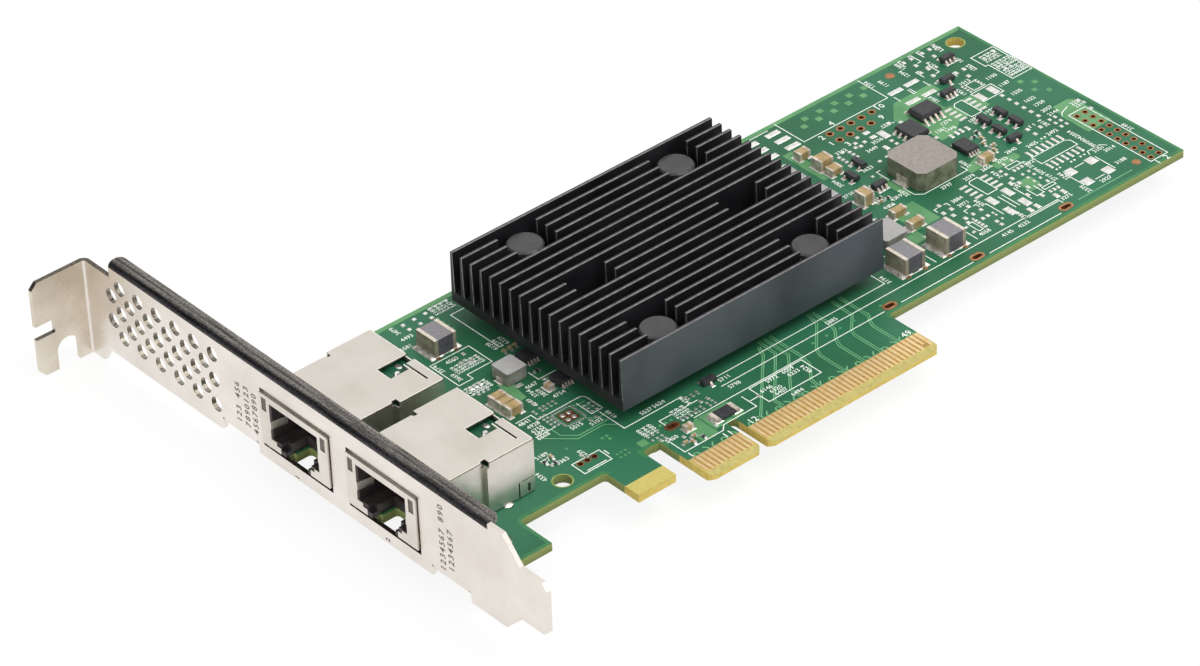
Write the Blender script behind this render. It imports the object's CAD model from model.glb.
# %% [markdown]
# # A two-port network interface card, dressed for rendering
# The card arrives as a set of finished solids in metres: the board, the folded bracket, the two
# shielded jacks, the heatsink and the parts soldered to the board. This lesson gives each of them a
# surface, and adds what is too thin for the solids: solder, copper, printing and tiny chips.

# %% Load the solids
import math

import bmesh
import bpy
from mathutils import Matrix, Vector


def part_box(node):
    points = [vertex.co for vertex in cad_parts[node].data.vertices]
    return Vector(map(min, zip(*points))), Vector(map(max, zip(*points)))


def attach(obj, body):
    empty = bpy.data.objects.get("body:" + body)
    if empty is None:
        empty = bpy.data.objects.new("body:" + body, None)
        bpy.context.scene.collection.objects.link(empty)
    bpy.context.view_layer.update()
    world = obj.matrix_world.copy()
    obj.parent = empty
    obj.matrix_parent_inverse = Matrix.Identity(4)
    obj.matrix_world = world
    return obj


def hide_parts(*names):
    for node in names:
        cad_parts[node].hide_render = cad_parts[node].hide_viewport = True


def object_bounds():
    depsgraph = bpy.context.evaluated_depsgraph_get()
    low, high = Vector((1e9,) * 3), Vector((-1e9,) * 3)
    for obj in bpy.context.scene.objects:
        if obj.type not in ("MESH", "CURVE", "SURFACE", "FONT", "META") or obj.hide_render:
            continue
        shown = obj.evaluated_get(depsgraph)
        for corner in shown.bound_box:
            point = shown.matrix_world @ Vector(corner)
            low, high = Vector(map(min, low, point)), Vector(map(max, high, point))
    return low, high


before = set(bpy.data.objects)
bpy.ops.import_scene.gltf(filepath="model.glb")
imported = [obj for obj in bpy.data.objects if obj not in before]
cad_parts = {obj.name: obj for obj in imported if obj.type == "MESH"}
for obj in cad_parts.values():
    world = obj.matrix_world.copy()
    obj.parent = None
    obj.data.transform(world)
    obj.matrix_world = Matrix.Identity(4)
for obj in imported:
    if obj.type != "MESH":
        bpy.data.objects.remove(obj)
cad_box = [list(corner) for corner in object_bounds()]
MM = 0.001
print("solids:", len(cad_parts), "box in mm:", [[round(v / MM, 1) for v in c] for c in cad_box])

# %% [markdown]
# ## Small tools
# Colours are written as hex values, as in any paint program, and have to be made linear before a
# shader uses them. Every node, in a material or in a geometry tree, is added by one function that
# takes what feeds its inputs and its settings, so that a tree reads from top to bottom like a recipe.

# %% Colours and nodes
def linear(code):
    """The linear colour of an sRGB hex code."""
    values = [int(code[i:i + 2], 16) / 255 for i in (1, 3, 5)]
    return [v / 12.92 if v <= 0.04045 else ((v + 0.055) / 1.055) ** 2.4 for v in values] + [1.0]


def feed(tree, socket, value):
    """Link a socket to another one or to a node's first output, or set its value or hex colour."""
    source = value.outputs[0] if isinstance(value, bpy.types.Node) else value
    if isinstance(source, bpy.types.NodeSocket):
        tree.links.new(source, socket)
    else:
        socket.default_value = linear(value) if str(value).startswith("#") else value


def add(tree, kind, inputs=None, stops=(), **settings):
    """Add a node, set its own settings and colour stops, and feed its inputs."""
    node = tree.nodes.new(kind if "Node" in kind else "ShaderNode" + kind)
    for key, value in settings.items():
        setattr(node, key, value)
    for key, value in (inputs or {}).items():
        feed(tree, node.inputs[key], value)
    for i, (position, colour) in enumerate(stops):
        ramp = node.color_ramp.elements
        stop = ramp[i] if i < 2 else ramp.new(position)
        stop.position = position
        stop.color = linear(colour)
    return node


print("nodes can be added")

# %% [markdown]
# ## What every finish shares
# A real surface is never one even value: its colour wanders in patches, its gloss too, and a fine
# grain breaks up the light. Each of the three is noise of a size in millimetres, on coordinates that
# stay with the card. Where a finish changes from place to place, masks that are 0 or 1 say where.

# %% Patterns and masks
FAR = 1000  # millimetres, further than the card reaches


def new_material(name, roughness, metallic=0.0, specular=0.5):
    """The tree of a new material, with its shader and the coordinates that its patterns follow."""
    material = bpy.data.materials.new(name)
    material.use_nodes = True
    tree = material.node_tree
    tree.nodes.clear()
    shader = add(tree, "BsdfPrincipled", {"Roughness": roughness, "Metallic": metallic,
                                          "Specular IOR Level": specular})
    add(tree, "OutputMaterial", {"Surface": shader})
    add(tree, "TexCoord")
    return tree


def here(tree, output="Object"):
    """Where a point lies on the card or, with "Normal", which way it faces."""
    return tree.nodes["Texture Coordinate"].outputs[output]


def coat(tree, inputs):
    """Feed the shader of a material."""
    for key, value in inputs.items():
        feed(tree, tree.nodes["Principled BSDF"].inputs[key], value)


def grain(tree, size_mm, detail, stretch=None):
    """Noise with grains about size_mm across, drawn out along the axes that stretch makes small."""
    place = here(tree)
    if stretch:
        place = add(tree, "Mapping", {"Vector": place, "Scale": stretch})
    return add(tree, "TexNoise", {"Vector": place, "Scale": 1 / (size_mm * MM), "Detail": detail})


def mottled(tree, size_mm, dark, light, detail=3.0, low=0.35, high=0.65):
    """A colour that wanders between two hex codes in patches about size_mm across."""
    return add(tree, "ValToRGB", {"Fac": grain(tree, size_mm, detail)}, ((low, dark), (high, light)))


def grainy(tree, size_mm, height_mm, strength=0.5):
    """A fine bump with grains about size_mm across."""
    return add(tree, "Bump", {"Height": grain(tree, size_mm, 2.0), "Distance": height_mm * MM, "Strength": strength})


def uneven(tree, size_mm, roughness, less, more, stretch=None):
    """A roughness that wanders between less and more times a value."""
    return add(tree, "MapRange", {"Value": grain(tree, size_mm, 4.0, stretch), "From Min": 0.3, "From Max": 0.7,
                                  "To Min": roughness * less, "To Max": roughness * more})


def combine(tree, operation, *masks):
    """One mask from several: their product is 1 where all are, their maximum where any is."""
    total = masks[0]
    for mask in masks[1:]:
        total = add(tree, "Math", {0: total, 1: mask}, operation=operation)
    return total


def between(tree, value, low, high, unit=MM):
    """1 where value lies between low and high, else 0; a place is given in millimetres."""
    above = add(tree, "Math", {0: value, 1: low * unit}, operation="GREATER_THAN")
    below = add(tree, "Math", {0: value, 1: high * unit}, operation="LESS_THAN")
    return combine(tree, "MULTIPLY", above, below)


def zone(tree, x_low, x_high, y_low, y_high):
    """1 inside a rectangle seen from above, else 0."""
    x, y, _ = add(tree, "SeparateXYZ", {"Vector": here(tree)}).outputs
    return combine(tree, "MULTIPLY", between(tree, x, x_low, x_high), between(tree, y, y_low, y_high))


def layered(tree, colour, *layers, **settings):
    """A colour with others laid over it, each given by its mask and its colour."""
    for where, over in layers:
        colour = add(tree, "Mix", {0: where, 6: colour, 7: over}, data_type="RGBA", **settings).outputs[2]
    return colour


def simple_finish(name, dark, light, roughness, metallic, patch_mm, grain_mm, grain_height, specular=0.5):
    """A material with wandering colour and roughness and a fine grain."""
    tree = new_material(name, roughness, metallic, specular)
    coat(tree, {"Base Color": mottled(tree, patch_mm, dark, light),
                "Roughness": uneven(tree, patch_mm * 0.5, roughness, 0.85, 1.15),
                "Normal": grainy(tree, grain_mm, grain_height)})


print("patterns ready")

# %% [markdown]
# ## Camera
# The card is seen from above its lower left corner with a long lens, so that parallel edges stay
# nearly parallel. The camera's matrix is built from the three directions it is turned to.

# %% Camera
right = Vector((0.75255, -0.65762, -0.03468))
up = Vector((0.40573, 0.42158, 0.81096))
back = right.cross(up)
camera_data = bpy.data.cameras.new("camera")
camera_data.lens = 155.83
camera_data.sensor_width = 36.0
camera_data.clip_start = 0.01
camera_data.clip_end = 20.0
camera = bpy.data.objects.new("camera", camera_data)
turn = Matrix((right, up, back)).transposed().to_4x4()
camera.matrix_world = Matrix.Translation((-0.45042, -0.50092, 0.50811)) @ turn
scene = bpy.context.scene
scene.collection.objects.link(camera)
scene.camera = camera
print("camera looks along", [round(v, 3) for v in -back])

# %% [markdown]
# ## Studio
# A white sweep and soft light. Metal needs something to reflect, so the surroundings are not even:
# they are bright overhead and fall off on one side, which gives the bracket's fold its dark band.
# The floor shows white to the camera but still takes the card's shadow.

# %% Surroundings
scene.view_settings.view_transform = "Standard"
scene.world = bpy.data.worlds.new("studio")
scene.world.use_nodes = True
sky = scene.world.node_tree
sky.nodes.clear()
dark_side = Vector((-0.60, 0.62, 0.50)).normalized()
towards_dark = add(sky, "VectorMath", {0: add(sky, "TexCoord").outputs["Generated"], 1: dark_side},
                   operation="DOT_PRODUCT").outputs["Value"]
shade = add(sky, "MapRange", {"Value": towards_dark, "From Min": 0.80, "From Max": 0.97,
                              "To Min": 1.0, "To Max": 0.2}, interpolation_type="SMOOTHSTEP")
lit = add(sky, "Background", {"Color": "#F6F6F4", "Strength": shade})
seen = add(sky, "Background", {"Color": "#FFFFFF", "Strength": 1.0})
choose = add(sky, "MixShader", {0: add(sky, "LightPath").outputs["Is Camera Ray"], 1: lit, 2: seen})
add(sky, "OutputWorld", {"Surface": choose})
print("surroundings ready")

# %% Floor
low_corner, high_corner = [Vector(c) for c in cad_box]
FLOOR_REACH = 1.6
SEEN_WHITE = 0.88  # the share of the floor that shows white to the camera; the rest takes the shadow
floor_z = low_corner.z - 0.0001
floor_mesh = bpy.data.meshes.new("floor")
signs = ((-1, -1), (1, -1), (1, 1), (-1, 1))
floor_mesh.from_pydata([(x * FLOOR_REACH, y * FLOOR_REACH, floor_z) for x, y in signs], [], [(0, 1, 2, 3)])
floor = bpy.data.objects.new("floor", floor_mesh)
scene.collection.objects.link(floor)
paper = bpy.data.materials.new("matt_white_paper")
paper.use_nodes = True
tree = paper.node_tree
tree.nodes.clear()
rays = add(tree, "LightPath").outputs
straight = combine(tree, "MAXIMUM", rays["Is Camera Ray"], rays["Is Glossy Ray"], rays["Is Transmission Ray"])
both = add(tree, "MixShader", {0: combine(tree, "MULTIPLY", straight, SEEN_WHITE),
                               1: add(tree, "BsdfDiffuse", {"Color": "#F2F2F0"}),
                               2: add(tree, "Emission", {"Color": "#FFFFFF", "Strength": 1.0})})
add(tree, "OutputMaterial", {"Surface": both})
floor_mesh.materials.append(paper)
print("floor at", round(floor_z / MM, 2), "mm")

# %% Lamps
middle = (low_corner + high_corner) / 2
for name, place, size, power in (("key", (0.25, -0.35, 1.0), 0.8, 6.5), ("fill", (-0.9, -0.1, 0.5), 0.7, 2.2)):
    data = bpy.data.lights.new(name, "AREA")
    data.shape = "DISK"
    data.size = size
    data.energy = power
    lamp = bpy.data.objects.new(name, data)
    lamp.location = place
    lamp.rotation_euler = (middle - Vector(place)).to_track_quat("-Z", "Y").to_euler()
    scene.collection.objects.link(lamp)
    print("lamp", name, "of", power, "watts")

# %% [markdown]
# ## The board's own surfaces
# A circuit board is glass cloth and resin, plated with copper and then flooded with green solder
# mask. The mask is nearly clear, so it looks dark over the resin, and light over copper that lies
# under it. Where the mask stops, at the fingers and on the latch tab, the bare laminate is pale
# yellow, and the sawn edge shows its layers. One material does all of it, and picks the colour
# from the direction and the place of each face.

# %% Solder mask on glass-epoxy laminate
FLAT = 0.6  # a face whose normal leans further than this towards Z is the top or the underside
tree = new_material("solder_masked_laminate", 0.34, 0.0, 0.2)
height = add(tree, "SeparateXYZ", {"Vector": here(tree)}).outputs["Z"]
lean = add(tree, "SeparateXYZ", {"Vector": here(tree, "Normal")}).outputs["Z"]
# the mask: two greens in broad patches, as inner copper shows through, and a fine weave
weave = add(tree, "TexWave", {"Vector": here(tree), "Scale": 1 / (1.3 * MM), "Distortion": 1.5},
            wave_type="BANDS", bands_direction="DIAGONAL")
greens = mottled(tree, 26.0, "#2A6344", "#316E50", 2.0, 0.42, 0.58)
mask = layered(tree, greens, (0.10, weave), blend_type="MULTIPLY")
# bare laminate in the finger zone and on the latch tab
bare = combine(tree, "MAXIMUM", zone(tree, -13, 40, -FAR, 5.75), zone(tree, -24.6, -15.5, -FAR, 7.65))
# between the fingers the resin is stained dark brown; the bevel below them is rough and dull
finger_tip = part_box("edge_contacts_front")[0][1] / MM
between_fingers = combine(tree, "MAXIMUM", zone(tree, -11.9, -1.1, finger_tip + 0.1, 5.7),
                          zone(tree, 1.1, 38.9, finger_tip + 0.1, 5.7))
resin = layered(tree, mottled(tree, 0.8, "#BAAC61", "#C3B56A"),
                (between_fingers, mottled(tree, 0.6, "#9C7C40", "#B28E50")),
                (between(tree, lean, 0.5, 0.96, 1), mottled(tree, 0.8, "#A69A5C", "#B6AA68")))
face = layered(tree, mask, (bare, resin))
# sawn edge: layers of cloth and resin, 0.2 mm apart
layers = add(tree, "TexWave", {"Vector": here(tree), "Scale": 1 / (1.25 * MM), "Distortion": 0.6, "Detail": 2.0},
             wave_type="BANDS", bands_direction="Z").outputs["Fac"]
sawn = add(tree, "ValToRGB", {"Fac": layers}, ((0, "#5C6639"), (1, "#7F8752")))
# the upper half of the cut is lighter, where mask and light soak into the clear resin
soaked = add(tree, "MapRange", {"Value": height, "From Min": -1.4 * MM, "From Max": -0.1 * MM, "To Max": 0.6})
# near the fingers and round the far mounting hole the cut laminate is amber
amber = combine(tree, "MAXIMUM", zone(tree, -30, FAR, -FAR, 7.9), zone(tree, 103, 109.4, 62, 68.4))
cut = layered(tree, sawn, (soaked, "#8C9B5E"), (amber, mottled(tree, 1.2, "#B9A356", "#C8B364")))
either_way = add(tree, "Math", {0: lean}, operation="ABSOLUTE")
flat = add(tree, "Math", {0: either_way, 1: FLAT}, operation="GREATER_THAN")
coat(tree, {"Base Color": layered(tree, cut, (flat, face)),
            "Roughness": add(tree, "MapRange", {"Value": flat, "To Min": 0.75, "To Max": 0.34}),
            "Normal": grainy(tree, 0.5, 0.006, 0.35)})
print("board material has", len(tree.nodes), "nodes")

# %% [markdown]
# ## Metals
# The bracket and the jack shells are thin steel with a satin nickel plate: a warm grey mirror that
# is blurred by fine rolling marks. The bracket was rolled over at its top edge, which burnished the
# plate there: nearly black round the fold, and streaked grey behind it.

# %% Plated steel
STEEP = 0.5  # a face whose normal leans further than this towards an axis counts as facing it
bracket_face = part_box("jack_1_shell")[0][0] / MM + 0.45
fold_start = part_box("bracket")[1][2] / MM - 1.2
FOLD_END = 98.5  # the Y at which the long fold stops and the neck of the tab starts
FOLD_REACH = 4.2  # millimetres, round the fold and back along the flange


def satin_nickel_plate(name, dark, light, roughness, speckle_mm, bump=0.5):
    tree = new_material(name, roughness, 1.0)
    coat(tree, {"Base Color": mottled(tree, 9.0, dark, light, 5.0, 0.3, 0.7),
                "Roughness": uneven(tree, speckle_mm, roughness, 0.8, 1.25, (1, 0.08, 1)),
                "Normal": grainy(tree, speckle_mm, 0.006, bump)})
    return tree


def burnished_fold(tree):
    """Darkens the plate round the fold, on the punched walls, and on the tab behind its own fold."""
    plain = tree.nodes["Principled BSDF"].inputs["Base Color"].links[0].from_socket
    x, y, z = add(tree, "SeparateXYZ", {"Vector": here(tree)}).outputs
    facing = add(tree, "SeparateXYZ", {"Vector": here(tree, "Normal")}).outputs
    # how far round the fold and along the flange a point lies, from 0 to 1
    start = bracket_face + fold_start
    far = add(tree, "MapRange", {"Value": add(tree, "Math", {0: x, 1: z}, operation="ADD"),
                                 "From Min": start * MM, "From Max": (start + FOLD_REACH) * MM})
    streaks = grain(tree, 0.5, 4.0, (1, 0.05, 1))
    both = add(tree, "Math", {0: streaks, 1: grain(tree, 0.22, 3.0)}, operation="ADD")
    wander = add(tree, "Math", {0: both, 1: 0.16, 2: -0.16}, operation="MULTIPLY_ADD")
    fold = add(tree, "ValToRGB", {"Fac": add(tree, "Math", {0: far, 1: wander}, operation="ADD")},
               ((0.0, "#9A9088"), (0.06, "#5E5A5A"), (0.14, "#57565B"), (0.34, "#615F63"), (0.50, "#7E7A77"),
                (0.62, "#A39E99"), (0.68, "#666361"), (0.74, "#948F8B"), (0.97, "#A8A29C")))
    # worn specks and lines along the fold
    lines = add(tree, "ValToRGB", {"Fac": streaks}, ((0.36, "#8E8C8A"), (0.56, "#FFFFFF")))
    specks = mottled(tree, 0.34, "#757373", "#FFFFFF", 4.0, 0.36, 0.64)
    fold = layered(tree, fold, (0.75, specks), (0.75, lines), blend_type="MULTIPLY")
    # the punched walls of the vents and port openings are dull and dark
    punched = combine(tree, "MULTIPLY", between(tree, facing["X"], -STEEP, STEEP, 1), between(tree, z, -1.5, 12.6),
                      between(tree, x, bracket_face - 0.01, bracket_face + 0.9), between(tree, y, 8, 103))
    # the screw tab lies in the shade of its fold, and the cut top edge of the neck has turned dark
    cut_top = combine(tree, "MULTIPLY", between(tree, facing["Z"], STEEP, 1.1, 1), between(tree, y, FOLD_END, FAR))
    plain = layered(tree, plain, (punched, mottled(tree, 0.5, "#7E776D", "#ABA397")),
                    (between(tree, x, -FAR, bracket_face - 0.4), mottled(tree, 7.0, "#D0C5B5", "#E4DBCD", 4.0)),
                    (cut_top, mottled(tree, 0.6, "#4E4843", "#7C746B")))
    above = add(tree, "Math", {0: z, 1: (fold_start + 0.1) * MM}, operation="GREATER_THAN")
    where = combine(tree, "MULTIPLY", above, between(tree, y, 0, FOLD_END))
    coat(tree, {"Base Color": layered(tree, plain, (where, fold))})


burnished_fold(satin_nickel_plate("satin_nickel_plated_steel", "#E2DAD2", "#F0EAE3", 0.32, 0.35, 0.35))
satin_nickel_plate("bright_nickel_plated_steel", "#D8D1C8", "#E6E0D8", 0.36, 0.9, 0.06)
satin_nickel_plate("zinc_plated_steel", "#BFBDB8", "#D2D0CB", 0.28, 0.25)
print("plated steel ready")

# %% [markdown]
# ## Black anodised aluminium
# The heatsink is extruded aluminium, milled and then dyed black in an oxide coat. The coat is a
# dull, slightly warm black. The milling leaves faint marks along each fin. The outer wall has been
# handled, and its coat is rubbed to a slate grey. The tops of the fins are rubbed a little, too.

# %% Anodised aluminium
tree = new_material("black_anodised_aluminium", 0.42, 0.35)
_, y, z = add(tree, "SeparateXYZ", {"Vector": here(tree)}).outputs
low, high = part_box("heatsink")
outer_wall = add(tree, "Math", {0: y, 1: low[1] + 0.2 * MM}, operation="LESS_THAN")
tip = add(tree, "Math", {0: z, 1: high[2] - 0.06 * MM}, operation="GREATER_THAN")
lean = add(tree, "SeparateXYZ", {"Vector": here(tree, "Normal")}).outputs["Z"]
worn = combine(tree, "MULTIPLY", tip, add(tree, "Math", {0: lean, 1: 0.9}, operation="GREATER_THAN"))
milled = grain(tree, 0.25, 3.0, (0.04, 1, 1))
coat(tree, {"Base Color": layered(tree, mottled(tree, 5.0, "#1C1A1E", "#29272B", 4.0),
                                  (outer_wall, mottled(tree, 16.0, "#353B41", "#495157", 2.0)),
                                  (worn, mottled(tree, 1.0, "#2E2B2F", "#3D3A3E"))),
            "Roughness": add(tree, "MapRange", {"Value": milled, "To Min": 0.34, "To Max": 0.56}),
            "Normal": add(tree, "Bump", {"Height": milled, "Distance": 0.01 * MM, "Strength": 0.4})})
print("heatsink finish ready")

# %% [markdown]
# ## Pressed, moulded and fired parts with a top
# The inductors are iron powder pressed round a coil, so they are grey and gritty: the top is rubbed
# pale by the press, and the sides stay dark. The block capacitors are moulded epoxy with tinned end
# plates, and they too are paler on top.

# %% Tops and walls
for name, *shades in (("pressed_carbonyl_iron", "#9C9A9A", "#AAA8A7", "#73746C", "#92938A"),
                      ("pressed_iron_powder", "#89817A", "#979089", "#545844", "#7A7D68"),
                      ("tinned_end_plate", "#BCB2A4", "#DAD0C4", "#757060", "#989280"),
                      ("moulded_capacitor_epoxy", "#767477", "#848285", "#454349", "#56545A")):
    tree = new_material(name, 0.62)
    lean = add(tree, "SeparateXYZ", {"Vector": here(tree, "Normal")}).outputs["Z"]
    level = add(tree, "Math", {0: lean, 1: STEEP}, operation="GREATER_THAN")
    coat(tree, {"Base Color": layered(tree, mottled(tree, 1.6, *shades[2:], 6.0),
                                      (level, mottled(tree, 0.5, *shades[:2], 5.0))),
                "Normal": grainy(tree, 0.15, 0.02)})
    print(name, "ready")

# %% [markdown]
# ## Even finishes
# The rest differ only in colour, gloss, metal and grain. Mask over copper is lighter than over resin.
# Ink is matt. Gold plate is thin and hard over nickel. Solder is tin that froze from liquid, bright
# and a little lumpy, and duller where it climbs a part. Bare copper keeps a clear brown coat, and is
# dark inside a hole. Ceramic is fired tan, chips are epoxy filled with sand and nearly black, the
# jacks' blocks are matt black nylon, and the light pipes are clear plastic that looks brown unlit.

# %% Finishes from a table
for recipe in (  # name, dark, light, roughness, metallic, patch mm, grain mm, grain height mm, specular
        ("solder_mask_over_copper", "#558A5E", "#659968", 0.34, 0.0, 6.0, 0.5, 0.006, 0.2),
        ("solder_mask_over_trace", "#68A474", "#7AB284", 0.36, 0.0, 3.0, 0.4, 0.004, 0.2),
        ("solder_mask_over_vias", "#46865A", "#5A9566", 0.36, 0.0, 3.0, 0.4, 0.004, 0.2),
        ("solder_mask_over_bare_rim", "#35724A", "#428053", 0.34, 0.0, 5.0, 0.5, 0.005, 0.2),
        ("white_epoxy_ink", "#DDE6DC", "#F1F5EE", 0.6, 0.0, 0.8, 0.15, 0.003),
        ("dark_grey_pad_print", "#5A544E", "#6E675F", 0.6, 0.0, 0.6, 0.2, 0.002),
        ("bare_glass_epoxy_laminate", "#76883F", "#98A556", 0.6, 0.0, 0.8, 0.3, 0.01),
        ("small_green_laminate", "#174A32", "#236043", 0.4, 0.0, 2.0, 0.4, 0.005),
        ("hard_gold_plate", "#F6D092", "#FDE3B2", 0.34, 1.0, 1.2, 0.15, 0.002),
        ("frozen_tin_solder", "#DDDCD7", "#FCFBF8", 0.34, 0.9, 0.7, 0.35, 0.02),
        ("solder_fillet", "#BDB7AE", "#F6F3EE", 0.36, 0.8, 0.8, 0.4, 0.01),
        ("matte_tin_plate", "#A89A8C", "#E0D4C8", 0.42, 0.25, 0.9, 0.2, 0.01),
        ("coated_copper", "#AA7650", "#CB976E", 0.36, 1.0, 0.8, 0.2, 0.004),
        ("copper_hole_wall", "#5A2F16", "#7A4622", 0.5, 0.5, 0.5, 0.2, 0.004),
        ("nickel_plated_copper_lid", "#8F8E8B", "#A8A7A3", 0.35, 1.0, 2.0, 0.3, 0.004),
        ("drawn_steel_wire", "#A9A6A0", "#C4C1BA", 0.28, 1.0, 1.0, 0.1, 0.003),
        ("fired_tan_ceramic", "#988155", "#B2996C", 0.45, 0.0, 1.4, 0.2, 0.006),
        ("black_moulding_epoxy", "#262629", "#37373B", 0.48, 0.0, 0.6, 0.12, 0.008),
        ("black_moulded_nylon", "#2A2425", "#3A3334", 0.46, 0.0, 2.0, 0.3, 0.006),
        ("black_moulded_acetal", "#313133", "#3D3C3F", 0.24, 0.0, 3.0, 1.2, 0.003),
        ("smoked_polycarbonate", "#463D37", "#5C5148", 0.2, 0.0, 1.0, 0.3, 0.003),
        ("grey_silicone_pad", "#80807D", "#9A9A96", 0.8, 0.0, 1.0, 0.2, 0.01),
        ("worn_anodised_edge", "#6C686B", "#8C888B", 0.45, 0.5, 1.0, 0.2, 0.003),
        ("bright_fold_line", "#EFE7DA", "#FFFBF3", 0.3, 0.8, 1.0, 0.2, 0.003),
        ("dark_fold_line", "#5E584C", "#8C8474", 0.4, 0.5, 1.0, 0.2, 0.003)):
    simple_finish(*recipe)
print("materials:", len(bpy.data.materials))

# %% [markdown]
# ## Dress the solids
# Each solid gets the finish of what it is made of. Leads and terminals, which aren't in the list,
# are tin-plated copper.

# %% Give every solid its finish
finishes = {"circuit_board": "solder_masked_laminate", "bracket": "satin_nickel_plated_steel",
            "edge_contacts_front": "hard_gold_plate", "edge_contacts_back": "hard_gold_plate",
            "bracket_screws": "zinc_plated_steel", "heatsink": "black_anodised_aluminium",
            "heatsink_push_pins": "black_moulded_acetal", "heatsink_springs": "drawn_steel_wire",
            "thermal_pad": "grey_silicone_pad", "controller_cap": "nickel_plated_copper_lid",
            "controller_substrate": "small_green_laminate", "controller_solder_balls": "frozen_tin_solder",
            "main_inductor": "pressed_iron_powder", "small_inductor": "pressed_carbonyl_iron",
            "flat_inductors": "pressed_carbonyl_iron", "block_capacitors": "moulded_capacitor_epoxy",
            "block_capacitor_ends": "tinned_end_plate", "ceramic_capacitors": "fired_tan_ceramic"}
for name in ("sense_resistor", "flash_memory", "power_chips", "clock_chips", "small_transistors"):
    finishes[name] = "black_moulding_epoxy"
for jack in ("jack_1_", "jack_2_"):
    for name, finish in (("shell", "bright_nickel_plated_steel"), ("housing", "black_moulded_nylon"),
                         ("contact_wires", "hard_gold_plate"), ("light_pipes", "smoked_polycarbonate"),
                         ("inner_board", "small_green_laminate"), ("magnetics", "black_moulding_epoxy"),
                         ("board_pins", "frozen_tin_solder")):
        finishes[jack + name] = finish
for name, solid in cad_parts.items():
    if not solid.material_slots:
        solid.data.materials.append(None)
    for slot in solid.material_slots:
        slot.material = bpy.data.materials[finishes.get(name, "matte_tin_plate")]
print("dressed", len(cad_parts), "solids")

# %% [markdown]
# ## Laying thin things on the board
# Solder mask, printing and traces are only hundredths of a millimetre thick, so each is a flat mesh
# that lies just above the board. All sizes below are in millimetres in the card's own frame. Corners
# are written as in a drawing file, "x,y x,y", with a semicolon between two lines, and one function
# turns a list of flat shapes into a finished piece that rides on the card.

# %% Flat shapes
def drawn(text):
    """Lists of (x, y) corners, or of longer groups of numbers, from a drawing written as text."""
    return [[tuple(float(v) for v in corner.split(",")) for corner in line.split()] for line in text.split(";")]


def steps(start, step, count):
    return [start + step * i for i in range(count)]


def grid(xs, ys):
    return [(x, y) for y in ys for x in xs]


def settle(name, mesh, material):
    """A finished piece: its mesh in place, one material, riding on the card."""
    mesh.materials.clear()
    mesh.materials.append(bpy.data.materials[material])
    piece = bpy.data.objects.new(name, mesh)
    scene.collection.objects.link(piece)
    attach(piece, "root")
    print(name, "has", len(mesh.polygons), "faces")
    return piece


def build(name, corners, faces, material):
    """A piece from corners in millimetres and the faces between them."""
    mesh = bpy.data.meshes.new(name)
    mesh.from_pydata([tuple(Vector(corner) * MM) for corner in corners], [], faces)
    settle(name, mesh, material)


def area(shape):
    """The area of a shape, which is less than zero where its corners run clockwise."""
    return sum(a[0] * b[1] - b[0] * a[1] for a, b in zip(shape, shape[1:] + shape[:1])) / 2


def lay(name, shapes, height, material, down=False, turn=Matrix.Identity(3),
        place=(0, 0, 0)):
    """One flat piece made of shapes, each a list of (x, y) corners, at a height above the board."""
    corners = []
    faces = []
    for shape in shapes:
        if (area(shape) < 0) != down:
            shape = shape[::-1]
        faces.append(tuple(range(len(corners), len(corners) + len(shape))))
        corners += [turn @ Vector((x, y, height)) + Vector(place) for x, y in shape]
    build(name, corners, faces, material)


def block(x0, x1, y0, y1):
    return [(x0, y0), (x1, y0), (x1, y1), (x0, y1)]


def blocks(text):
    """Blocks from a drawing that gives the low and high x and then the low and high y of each."""
    return [block(*sides) for sides in drawn(text)[0]]


def circle(x, y, radius, sides=16):
    return [(x + radius * math.cos(2 * math.pi * i / sides), y + radius * math.sin(2 * math.pi * i / sides))
            for i in range(sides)]


def mitred(corners, closed):
    """At each corner, the step that moves both sides of the line by 1 to the left."""
    places = [Vector(corner) for corner in corners]
    found = []
    for i, place in enumerate(places):
        lines = []
        if closed or i > 0:
            lines.append(place - places[i - 1])
        if closed or i < len(places) - 1:
            lines.append(places[(i + 1) % len(places)] - place)
        a, b = (Vector((-line.y, line.x)).normalized() for line in (lines[0], lines[-1]))
        found.append((place, (a + b) / max(0.3, 1 + a.dot(b))))
    return found


def ribbon(corners, width, closed=False):
    """The four-cornered shapes of a line of that width, with mitred corners."""
    sides = [(tuple(p + out * width / 2), tuple(p - out * width / 2)) for p, out in mitred(corners, closed)]
    ends = sides[1:] + sides[:1] if closed else sides[1:]
    return [[a[0], a[1], b[1], b[0]] for a, b in zip(sides, ends)]


print("flat tools ready")

# %% [markdown]
# ## Copper under the mask
# Where copper lies under the mask, the green is lighter. The large areas are the power planes that
# the inductors, transistors and capacitors sit on. They could be cut from the board, but a curve
# that fills itself is shorter, and leaves out a ring round each hole that the plane mustn't touch.

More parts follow.
